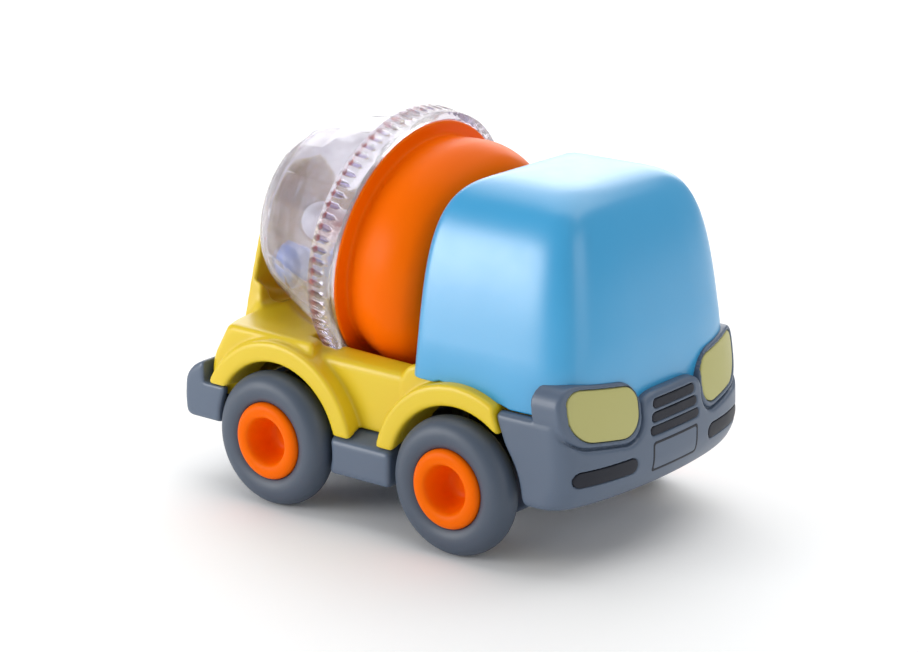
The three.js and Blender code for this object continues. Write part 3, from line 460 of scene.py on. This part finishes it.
def cab_mesh():
    """The cab from its inner lip round the lower edge and up to the middle of the roof."""
    angle = (np.arange(240) + 0.5) * 2 * math.pi / 240
    bottom = np.full(angle.shape, 4.0)
    for _ in range(8):
        bottom = cab_bottom(cab_points(bottom, 0, angle)[:, 0]) - CAB_BASE
    rows = [cab_points(bottom + up, inset, angle) for inset, up in
            ((2, 6), (2, 1), (1.9, 0.25), (1.5, 0), (0.5, 0), (0.15, 0.12), (0, 0.5))]
    first = np.arcsin(np.clip((bottom + 0.5) / CAB_HEIGHT, 0, 1) ** (ROOF_POWER / 2))
    for u in np.linspace(0, 1, 71)[1:]:
        phi = math.pi / 2 - (math.pi / 2 - first) * (1 - u) ** 1.7
        rows.append(cab_points(CAB_HEIGHT * np.sin(phi) ** (2 / ROOF_POWER), 0, angle))
    return np.concatenate(rows), grid_faces(len(rows), 240)


# ---------- front bumper ----------


def nose(z):
    """x of the bumper's front on the middle plane: fullest at z = 26, falling back above and below."""
    return NOSE - np.where(z < 26, 3.4 * ((26 - z) / 8.6) ** 2, 2.7 * ((z - 26) / 24) ** 2)


def bumper_front(y, z):
    """x of the bumper's front, which bows back towards its sides."""
    return nose(z) - 1.8 * (y / 25) ** 2 - 0.22 * (y / 25) ** 6


def rounded_outline(y, z, half_w, half_h, corner):
    """Distance to a rectangle with round corners."""
    u = np.abs(y) - half_w + corner
    v = np.abs(z) - half_h + corner
    return np.hypot(np.maximum(u, 0), np.maximum(v, 0)) + np.minimum(np.maximum(u, v), 0) - corner


def lens_outline(y, z, grow):
    """Outline of a headlight: it rises outwards and is a little narrower and rounder below."""
    up = z - LENS_Z - LENS_TILT * (y - LENS_Y)
    half_w = LENS_HALF[0] + grow - 0.07 * np.maximum(-up, 0)
    corner = np.where(up > 0, 4.2, 5.8) + grow
    return rounded_outline(y - LENS_Y, up, half_w, LENS_HALF[1] + grow, corner)


def rim_outline(y, z, grow):
    """Outline of the bezel round a headlight."""
    up = z - LENS_Z - LENS_TILT * (y - RIM_Y)
    return rounded_outline(y - RIM_Y, up, RIM_HALF[0] + grow, RIM_HALF[1] + grow, 6.6 + grow)


def bumper_field(x, y, z):
    """Slab round the cab's foot, with the arch over the grille, the bezels and room for the inlays."""
    front = (x - bumper_front(y, z)) * 0.99
    slab = smax(4.5, front, y - BUMPER_SIDE)
    arch = smax(1.5, (z - 42.2 + 2 * (y / 12.6) ** 6) * 0.9, y - 15)
    top = smin(1.5, z - BUMPER_TOP, arch)
    body = smax(2.0, slab, top)
    trough = np.maximum(rim_outline(y, z, 0.5), -(front + 1.7))
    body = cut(1.0, body, trough)
    bezel = smax(0.9, rim_outline(y, z, 0), front + 0.5, -(front + 9))
    body = smin(0.3, body, bezel)
    body = smax(2.4, body, BUMPER_BOTTOM - z)
    wall = np.where(z < BUMPER_TOP - 0.5, BUMPER_WALL, 8)  # the bezels reach back to the cab
    inner = smax(3, front + wall, y - BUMPER_SIDE + BUMPER_WALL)
    body = cut(0.5, body, inner)
    body = smax(1.2, body, bumper_seam(x, z, 41.8))
    body = cut(0.8, body, np.maximum(wheel_disc(x, z, FENDER_INNER), 26 - y))
    recess = smax(0.25, lens_outline(y, z, 0.2), -(front + 1.9))
    body = cut(0.25, body, recess)
    for at_y, at_z, half_w, half_h in BARS.values():
        if at_y >= 0:
            slot = np.hypot(np.maximum(np.abs(y - at_y) - half_w + half_h, 0), z - at_z) - half_h - 0.12
            body = cut(0.2, body, np.maximum(slot, -(front + 0.9)))
    return body


# ---------- assembled pieces ----------


def surface_at(y, z, back):
    """Points a little behind the bumper's front."""
    return np.stack([bumper_front(y, z) - back, y, z], -1)


def inlay(points, back, depth):
    """A flush panel with a small round edge; its outline runs anticlockwise seen from the front."""
    outline = np.asarray(points, float)
    centre = outline.mean(0)
    rows = []
    for shrink, deeper in ((0, depth), (0, 0.25), (0.1, 0.06), (0.3, 0)):
        to_centre = centre - outline
        step = shrink / np.linalg.norm(to_centre, axis=1, keepdims=True)
        rim = outline + to_centre * step
        rows.append(surface_at(rim[:, 0], rim[:, 1], back + deeper))
    for share in np.linspace(0.9, 0.02, 12):
        loop = centre + (rim - centre) * share
        rows.append(surface_at(loop[:, 0], loop[:, 1], back))
    count = len(outline)
    last = (len(rows) - 1) * count
    middle = tuple(range(last, last + count))
    return np.concatenate(rows), grid_faces(len(rows), count) + [middle]


def bar_points(at_y, at_z, half_w, half_h):
    """Outline of a bar with round ends."""
    ends = np.linspace(-math.pi / 2, math.pi / 2, 13)
    right = [(at_y + half_w - half_h + half_h * math.cos(a), at_z + half_h * math.sin(a)) for a in ends]
    left = [(2 * at_y - y, z) for y, z in reversed(right)]
    top = np.linspace(right[-1], left[0], 24)[1:-1]
    return right + top.tolist() + left + [(2 * at_y - y, at_z * 2 - z) for y, z in top.tolist()]


def lens_points(side):
    """Outline of a lens found by walking out from its middle to the edge."""
    angle = np.linspace(0, 2 * math.pi, 120, endpoint=False)
    low, high = np.zeros(120), np.full(120, 16.0)
    for _ in range(30):
        middle = (low + high) / 2
        out = lens_outline(LENS_Y + middle * np.cos(angle), LENS_Z + middle * np.sin(angle), 0) > 0
        low, high = np.where(out, low, middle), np.where(out, middle, high)
    points = np.stack([LENS_Y + low * np.cos(angle), LENS_Z + low * np.sin(angle)], 1)
    return points if side > 0 else points[::-1] * [-1, 1]


def plate_frame():
    """Narrow raised line round the blank number plate."""
    loops = []
    for grow, back in ((0, 1), (0, 0.05), (-0.15, -0.05), (-0.7, -0.05), (-0.85, 0.05), (-0.85, 1)):
        w, h, r = PLATE_HALF[0] + grow, PLATE_HALF[1] + grow, 1.1 + grow / 2
        loop = []
        for side_y, side_z, start in ((1, 1, 0), (-1, 1, 90), (-1, -1, 180), (1, -1, 270)):
            for a in np.radians(start + np.linspace(0, 90, 7)):
                y = side_y * (w - r) + r * math.cos(a)
                z = PLATE_Z + side_z * (h - r) + r * math.sin(a)
                loop.append((y, z))
        loop = np.array(loop)
        ends = zip(loop, np.roll(loop, -1, 0))
        dense = np.concatenate([np.linspace(a, b, 6, endpoint=False) for a, b in ends])
        loops.append(surface_at(dense[:, 0], dense[:, 1], back))
    return np.concatenate(loops), grid_faces(len(loops), len(loops[0]), True)


# ---------- wheels ----------


def middle_of(node):
    """Middle of a CAD node's box, in millimetres in the truck's frame."""
    low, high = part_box(node)
    return (low + high) * 500 - Vector((SHIFT, 0, 0))


def tyre_profile():
    """The tyre's section: a nearly round bead on a flat seat."""
    angle = np.linspace(0, 2 * math.pi, 72, endpoint=False)
    c, s = np.cos(angle), np.sin(angle)
    r = AXLE_Z - TYRE_HEIGHT / 2 + TYRE_HEIGHT / 2 * np.sign(c) * np.abs(c) ** (2 / TYRE_POWER)
    h = TYRE_HALF_WIDTH * np.sign(s) * np.abs(s) ** (2 / TYRE_POWER)
    return np.stack([np.maximum(r, TYRE_SEAT), h], 1)


def hub_profile():
    """The hub from its inner end over the round lip into the deep dish."""
    outside = [(0.02, -4), (9, -4.1), (10.1, -3), (10.25, 2.8), (10.2, 4)]
    lip = [(9.6, 4.75), (8.6, 5.12), (7.5, 5.08), (6.6, 4.7)]
    dish = [(6.1, 3.8), (5.7, 2.2), (5.2, 0.2), (4.4, -1.8), (3, -2.7), (0.02, -2.8)]
    return rounded(outside + lip + dish, 5)


def wheels():
    for end in ("front", "rear"):
        for name, side in (("right", -1), ("left", 1)):
            tyre, hub = f"tyre_{end}_{name}", f"hub_{end}_{name}"
            middle = middle_of(tyre)
            points, faces = spun(tyre_profile(), middle, (0, side, 0), 96)
            finish_mesh(f"{tyre}_smooth", points, faces, f"{end}_wheels", [tyre], "grey_tyre")
            points, faces = spun(hub_profile(), middle, (0, side, 0), 96, closed=False)
            finish_mesh(f"{hub}_smooth", points, faces, f"{end}_wheels", [hub], "orange_plastic")


# ---------- drum ----------


def bowl_radius(r, h, angle):
    """Adds the teeth to the outside and flat facets to the inside of the bowl."""
    tooth = np.abs((angle * RING_TEETH / (2 * math.pi) + 0.5) % 1 - 0.5)
    along = (h - FLANGE) / (BAND - FLANGE)
    open_end = np.clip(np.minimum(along, 1 - along) * 4.2, 0, 1)
    gap = np.clip((tooth - 0.5 + 0.27 * open_end) / 0.09, 0, 1) * (open_end > 0)
    teeth = r - 1.5 * gap * gap * (3 - 2 * gap)
    facet = (angle * BOWL_FACETS / (2 * math.pi)) % 1 - 0.5
    flat = r * math.cos(math.pi / BOWL_FACETS) / np.cos(facet * 2 * math.pi / BOWL_FACETS)
    on_band = (r > RING_TIP - 0.3) & (h > FLANGE)
    inside = (r < 30.3) & (h > 4) & (h < 31) & (r < 33.6 - 0.19 * h - 0.9)
    return np.where(on_band, teeth, np.where(inside, flat, r))


def bowl_profile():
    """The bowl's section: the toothed band, the outside to the back wall, and the inside to the rim."""
    outside = [(33.9, 0.1), (34.3, 0), (35.6, 0.05), (RING_TIP, 0.4), (RING_TIP, FLANGE)]
    outside += [(RING_TIP, FLANGE + (BAND - FLANGE) * t) for t in np.linspace(0, 1, 25)[1:]]
    outside += [(35.6, BAND + 0.25), (33, BAND + 0.4), (32, BAND + 0.8), (31.7, BAND + 1.6)]
    back = rounded([(31.7, BAND + 1.6), (30.4, 15.5), (28.9, 21), (27.4, 26), (26, 30.2), (24.6, 33.5),
                    (22.6, 36), (19.3, 37.9), (14, 38.75), (6, 39)], 5)
    front = rounded([(6, 37.6), (13.6, 37.3), (18.6, 36.4), (21.4, 34.8), (23.4, 32.4)], 4)
    wall = [(30.1 - 0.25 * (h - 6), h) for h in np.linspace(30.5, 6, 12)]
    rim = [(30.2, 5.2), (30.4, 3), (30.4, 1.5), (33.9, 1.5)]
    return np.concatenate([outside, back[1:], [(3, 39), (0.02, 39), (0.02, 37.6)], front, wall, rim])


def cone_profile():
    """The cone's section: the flange, the swelling outside, the flat front end and the inside."""
    flange = [(30.6, 1.2), (33.4, 1.2), (33.6, 0.9), (33.6, 0), (33.2, -0.35), (31.3, -0.5), (30.3, -0.9)]
    belly = [(30.1, -1.8), (30.5, -3.8), (31.2, -7), (31.75, -10.5), (31.7, -13.5), (31.1, -16.6)]
    end = [(29.8, -19.6), (27.4, -22.2), (24, -23.8), (20, -24.25), (12, -24.3), (0.02, -24.3)]
    inside_end = [(0.02, -22.7), (18, -22.7), (23, -22), (27, -19.6)]
    inside_belly = [(29.3, -15.5), (30, -11), (29, -5), (28.6, 1.2)]
    return np.concatenate([rounded(flange + belly + end, 6), rounded(inside_end + inside_belly, 5)])


def drum():
    points, faces = spun(bowl_profile(), DRUM_AT, TO_REAR, RING_TEETH * 14, True, bowl_radius)
    finish_mesh("drum_bowl_clear", points, faces, "drum", ["drum_bowl"], "clear_plastic")
    points, faces = spun(cone_profile(), DRUM_AT, TO_REAR, 180)
    finish_mesh("drum_cone_smooth", points, faces, "drum", ["drum_cone"], "orange_plastic")
    pins = (("front", -35.2, -24, "orange_plastic"), ("rear", 38.8, 43.7, "clear_plastic"))
    for name, low, high, slot in pins:
        chamfer = 0.3
        foot = [(0.02, low), (1.7, low), (1.98, low + chamfer)]
        profile = foot + [(1.98, high - chamfer), (1.7, high), (0.02, high)]
        points, faces = spun(profile, DRUM_AT, TO_REAR, 32, closed=False)
        finish_mesh(f"drum_pin_{name}", points, faces, "drum", [], slot)


def balls():
    looks = {"ball_front": "ball_blue", "ball_middle": "ball_white", "ball_rear": "ball_blue"}
    for name, slot in looks.items():
        low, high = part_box(name)
        radius = (high - low).x * 500
        angle = np.linspace(0.002, math.pi - 0.002, 40)
        profile = np.stack([radius * np.sin(angle), -radius * np.cos(angle)], 1)
        seam = np.exp(-((angle - math.pi / 2) / 0.03) ** 2) * 0.12
        profile[:, 0] -= seam
        points, faces = spun(profile, middle_of(name), (0.3, 0.2, 1), 56, closed=False)
        finish_mesh(f"{name}_smooth", points, faces, name, [name], slot)


# ---------- materials ----------


SMUDGE = 0.08  # how much the roughness of moulded plastic varies


def new_material(name):
    material = bpy.data.materials.new(name)
    material.use_nodes = True
    tree = material.node_tree
    shader = tree.nodes["Principled BSDF"]
    return material, tree, shader


def add(tree, kind, **settings):
    node = tree.nodes.new(kind)
    for key, value in settings.items():
        if key in node.inputs:
            node.inputs[key].default_value = value
        else:
            setattr(node, key, value)
    return node


def plastic(name, colour, dark, rough, grain=0.06, scatter=0.0, metal=0.0, specular=0.5, coat=0.0):
    """Moulded plastic: slight colour drift, faint flow marks, fine texture and uneven gloss."""
    material, tree, shader = new_material(name)
    link = tree.links.new
    place = add(tree, "ShaderNodeTexCoord")
    drift = add(tree, "ShaderNodeTexNoise", Scale=38.0, Detail=3.0)
    link(place.outputs["Object"], drift.inputs["Vector"])
    mix = add(tree, "ShaderNodeMix", data_type="RGBA")
    mix.inputs[6].default_value = (*colour, 1)
    mix.inputs[7].default_value = (*dark, 1)
    link(drift.outputs["Fac"], mix.inputs[0])
    link(mix.outputs[2], shader.inputs["Base Color"])
    haze = add(tree, "ShaderNodeTexNoise", Scale=140.0, Detail=5.0, Roughness=0.7)
    link(place.outputs["Object"], haze.inputs["Vector"])
    gloss = add(tree, "ShaderNodeMapRange")
    gloss.inputs["To Min"].default_value = rough - SMUDGE
    gloss.inputs["To Max"].default_value = rough + SMUDGE
    link(haze.outputs["Fac"], gloss.inputs["Value"])
    link(gloss.outputs["Result"], shader.inputs["Roughness"])
    fine = add(tree, "ShaderNodeTexNoise", Scale=2600.0, Detail=2.0)
    link(place.outputs["Object"], fine.inputs["Vector"])
    bump = add(tree, "ShaderNodeBump", Strength=grain, Distance=0.0002)
    link(fine.outputs["Fac"], bump.inputs["Height"])
    link(bump.outputs["Normal"], shader.inputs["Normal"])
    shader.inputs["Metallic"].default_value = metal
    shader.inputs["Specular IOR Level"].default_value = specular
    shader.inputs["Coat Weight"].default_value = coat
    shader.inputs["Coat Roughness"].default_value = rough
    shader.inputs["IOR"].default_value = 1.5
    if scatter:
        shader.inputs["Subsurface Weight"].default_value = scatter
        shader.inputs["Subsurface Radius"].default_value = (1.0, 0.6, 0.4)
        shader.inputs["Subsurface Scale"].default_value = 0.002
    return material


def clear_plastic():
    """Clear moulding with a grey-lavender cast; the roots of the ring's teeth are painted a dark violet, painted
    shade in the tooth gaps over that lavender cast.
    """
    material, tree, shader = new_material("clear_plastic_look")
    link = tree.links.new
    place = add(tree, "ShaderNodeTexCoord")
    haze = add(tree, "ShaderNodeTexNoise", Scale=90.0, Detail=4.0)
    link(place.outputs["Object"], haze.inputs["Vector"])
    gloss = add(tree, "ShaderNodeMapRange")
    gloss.inputs["To Min"].default_value = 0.02
    gloss.inputs["To Max"].default_value = 0.12
    link(haze.outputs["Fac"], gloss.inputs["Value"])
    link(gloss.outputs["Result"], shader.inputs["Roughness"])
    from_seam = vector_math(tree, "SUBTRACT", place.outputs["Object"], DRUM_SPIN["pos_m"])
    along = vector_math(tree, "DOT_PRODUCT", from_seam.outputs["Vector"], TO_REAR)
    on_axis = vector_math(tree, "SCALE", tuple(TO_REAR))
    link(along.outputs["Value"], on_axis.inputs["Scale"])
    across = vector_math(tree, "SUBTRACT", from_seam.outputs["Vector"], on_axis.outputs["Vector"])
    radius = vector_math(tree, "LENGTH", across.outputs["Vector"])
    # mask of the roots of the teeth on the outside of the band, where the painted shade goes
    low = ramp(tree, radius.outputs["Value"], 0.0355, 0.0348)
    outside = ramp(tree, radius.outputs["Value"], 0.0325, 0.0335)
    start = ramp(tree, along.outputs["Value"], 0.0021, 0.0026)
    end = ramp(tree, along.outputs["Value"], 0.0076, 0.0070)
    gap = low.outputs["Result"]
    for mask in (outside, start, end):
        both = add(tree, "ShaderNodeMath", operation="MULTIPLY")
        link(gap, both.inputs[0])
        link(mask.outputs["Result"], both.inputs[1])
        gap = both.outputs["Value"]
    cast = add(tree, "ShaderNodeMix", data_type="RGBA")
    cast.inputs[6].default_value = (0.86, 0.85, 0.92, 1)
    cast.inputs[7].default_value = (0.92, 0.91, 0.96, 1)
    link(haze.outputs["Fac"], cast.inputs[0])
    edge = add(tree, "ShaderNodeLayerWeight", Blend=0.3)  # deeper where the wall is seen edge on
    rim = add(tree, "ShaderNodeMix", data_type="RGBA")
    rim.inputs[7].default_value = (0.5, 0.47, 0.62, 1)
    link(edge.outputs["Facing"], rim.inputs[0])
    link(cast.outputs[2], rim.inputs[6])
    # painted shade: the tooth gaps are coloured a dark violet, much darker than the plastic's own cast
    painted_gap_shade = add(tree, "ShaderNodeMix", data_type="RGBA")
    painted_gap_shade.inputs[7].default_value = (0.24, 0.19, 0.42, 1)
    link(gap, painted_gap_shade.inputs[0])
    link(rim.outputs[2], painted_gap_shade.inputs[6])
    link(painted_gap_shade.outputs[2], shader.inputs["Base Color"])
    shader.inputs["Transmission Weight"].default_value = 0.93
    shader.inputs["Alpha"].default_value = 0.76
    shader.inputs["IOR"].default_value = 1.25
    shader.inputs["Coat Weight"].default_value = 0.35
    shader.inputs["Coat Roughness"].default_value = 0.06
    return material


def vector_math(tree, operation, *values):
    node = add(tree, "ShaderNodeVectorMath", operation=operation)
    for socket, value in zip(node.inputs, values):
        if isinstance(value, bpy.types.NodeSocket):
            tree.links.new(value, socket)
        else:
            socket.default_value = value
    return node


def ramp(tree, value, start, end):
    """Rises smoothly from 0 to 1 while the value goes from start to end."""
    node = add(tree, "ShaderNodeMapRange", interpolation_type="SMOOTHSTEP")
    node.inputs["From Min"].default_value = start
    node.inputs["From Max"].default_value = end
    tree.links.new(value, node.inputs["Value"])
    return node


LOOKS = {
    "blue_plastic": plastic("blue_plastic_look", (0.030, 0.35, 0.67), (0.026, 0.33, 0.64), 0.32,
                            specular=0.9, coat=0.3),
    "grey_plastic": plastic("grey_plastic_look", (0.092, 0.128, 0.19), (0.084, 0.117, 0.175), 0.38,
                            specular=0.55),
    "dark_plastic": plastic("dark_plastic_look", (0.014, 0.016, 0.026), (0.011, 0.013, 0.021), 0.5,
                            specular=0.3),
    "yellow_plastic": plastic("yellow_plastic_look", (0.76, 0.56, 0.015), (0.72, 0.52, 0.012), 0.36,
                              scatter=0.1),
    "orange_plastic": plastic("orange_plastic_look", (0.90, 0.15, 0.0), (0.86, 0.13, 0.0), 0.34,
                              scatter=0.06, specular=0.06),
    "grey_tyre": plastic("tyre_look", (0.062, 0.084, 0.122), (0.055, 0.075, 0.11), 0.46, grain=0.12),
    "cream_plastic": plastic("cream_plastic_look", (0.49, 0.47, 0.17), (0.45, 0.43, 0.155), 0.45),
    "white_plastic": plastic("white_plastic_look", (0.78, 0.78, 0.74), (0.72, 0.72, 0.68), 0.45),
    "ball_blue": plastic("ball_blue_look", (0.08, 0.22, 0.72), (0.07, 0.19, 0.66), 0.3),
    "ball_white": plastic("ball_white_look", (0.82, 0.82, 0.88), (0.76, 0.76, 0.84), 0.3),
    "steel": plastic("steel_look", (0.62, 0.63, 0.65), (0.55, 0.56, 0.58), 0.3, grain=0.1, metal=1.0),
    "clear_plastic": clear_plastic(),
}


def dress_cad_nodes():
    """Gives every CAD node the look of its material slot."""
    for part in frame["record"]["subparts"]:
        node = frame["nodes"][part["node"]]
        node.data.materials.clear()
        node.data.materials.append(LOOKS[part["material_slot"]])


# ---------- the truck ----------


def mouldings():
    cell, bumper_cell = 0.55, 0.4
    points, faces = mirrored_skin(upper_body_field, (-59, 0, 22), (58, 39.2, 82), cell)
    finish_mesh("upper_body_smooth", points, faces, "chassis", ["upper_body"], "yellow_plastic")
    points, faces = mirrored_skin(base_plate_field, (-63, 0, 8.5), (58, 39.4, 36.2), cell)
    finish_mesh("base_plate_smooth", points, faces, "chassis", ["base_plate"], "grey_plastic")
    points, faces = mirrored_skin(bumper_field, (41.5, 0, 16.7), (69.6, 38.4, 50), bumper_cell)
    finish_mesh("front_bumper_smooth", points, faces, "chassis", ["front_bumper"], "grey_plastic")
    points, faces = cab_mesh()
    finish_mesh("cab_shell_smooth", points, faces, "chassis", ["cab_shell"], "blue_plastic")


def bumper_inlays():
    for name, (at_y, at_z, half_w, half_h) in BARS.items():
        points, faces = inlay(bar_points(at_y, at_z, half_w, half_h), 0.08, 0.9)
        finish_mesh(f"{name}_smooth", points, faces, "chassis", [name], "dark_plastic")
    for name, side in (("right", -1), ("left", 1)):
        points, faces = inlay(lens_points(side), 0.75, 1)
        replaced = [f"headlight_lens_{name}"]
        finish_mesh(f"lens_{name}_smooth", points, faces, "chassis", replaced, "cream_plastic")
    points, faces = plate_frame()
    plate = "number_plate_frame"
    finish_mesh(f"{plate}_smooth", points, faces, "chassis", [plate], "dark_plastic")


# ---------- studio ----------


def area_light(name, at, aim, size, power):
    """A white rectangular soft light that faces a point."""
    light = bpy.data.lights.new(name, "AREA")
    light.shape = "RECTANGLE"
    light.size, light.size_y = size
    light.energy = power
    lamp = bpy.data.objects.new(name, light)
    lamp.location = at
    lamp.rotation_euler = (Vector(aim) - Vector(at)).to_track_quat("-Z", "Y").to_euler()
    bpy.context.scene.collection.objects.link(lamp)


def studio():
    mesh = bpy.data.meshes.new("floor")
    mesh.from_pydata([(-6, -6, 0), (6, -6, 0), (6, 6, 0), (-6, 6, 0)], [], [(0, 1, 2, 3)])
    floor = bpy.data.objects.new("floor", mesh)
    bpy.context.scene.collection.objects.link(floor)
    pale, _, shader = new_material("pale_floor")
    shader.inputs["Base Color"].default_value = (1, 1, 1, 1)
    shader.inputs["Roughness"].default_value = 0.9
    mesh.materials.append(pale)
    world = bpy.data.worlds.new("studio")
    bpy.context.scene.world = world
    world.use_nodes = True
    background = world.node_tree.nodes["Background"]
    background.inputs["Color"].default_value = (1, 1, 1, 1)
    background.inputs["Strength"].default_value = 0.39
    area_light("key_left", (-0.64, -0.78, 0.24), (0, 0, 0.05), (0.62, 0.44), 5.8)
    area_light("fill_right", (0.9, -0.2, 0.4), (0, 0, 0.05), (0.6, 0.7), 1.5)
    area_light("top", (-0.1, 0.35, 1.1), (0, 0, 0), (1.5, 1.2), 9)
    area_light("back", (-0.9, 1.15, 0.62), (0, 0, 0.05), (1.6, 0.9), 12)


def camera():
    azimuth, elevation, distance = math.radians(38.2), math.radians(16.5), 0.701
    target = Vector(((1.0 + SHIFT) / 1000, 0, 0.0448))
    back = Vector((math.sin(azimuth) * math.cos(elevation), -math.cos(azimuth) * math.cos(elevation),
                   math.sin(elevation)))
    data = bpy.data.cameras.new("camera")
    data.lens = 105.3
    data.sensor_width = 36
    data.clip_start = 0.01
    view = bpy.data.objects.new("camera", data)
    view.location = target + back * distance
    view.rotation_euler = back.to_track_quat("Z", "Y").to_euler()
    bpy.context.scene.collection.objects.link(view)
    bpy.context.scene.camera = view


dress_cad_nodes()
mouldings()
bumper_inlays()
wheels()
drum()
balls()
studio()
camera()
bpy.context.scene.view_settings.view_transform = "Standard"
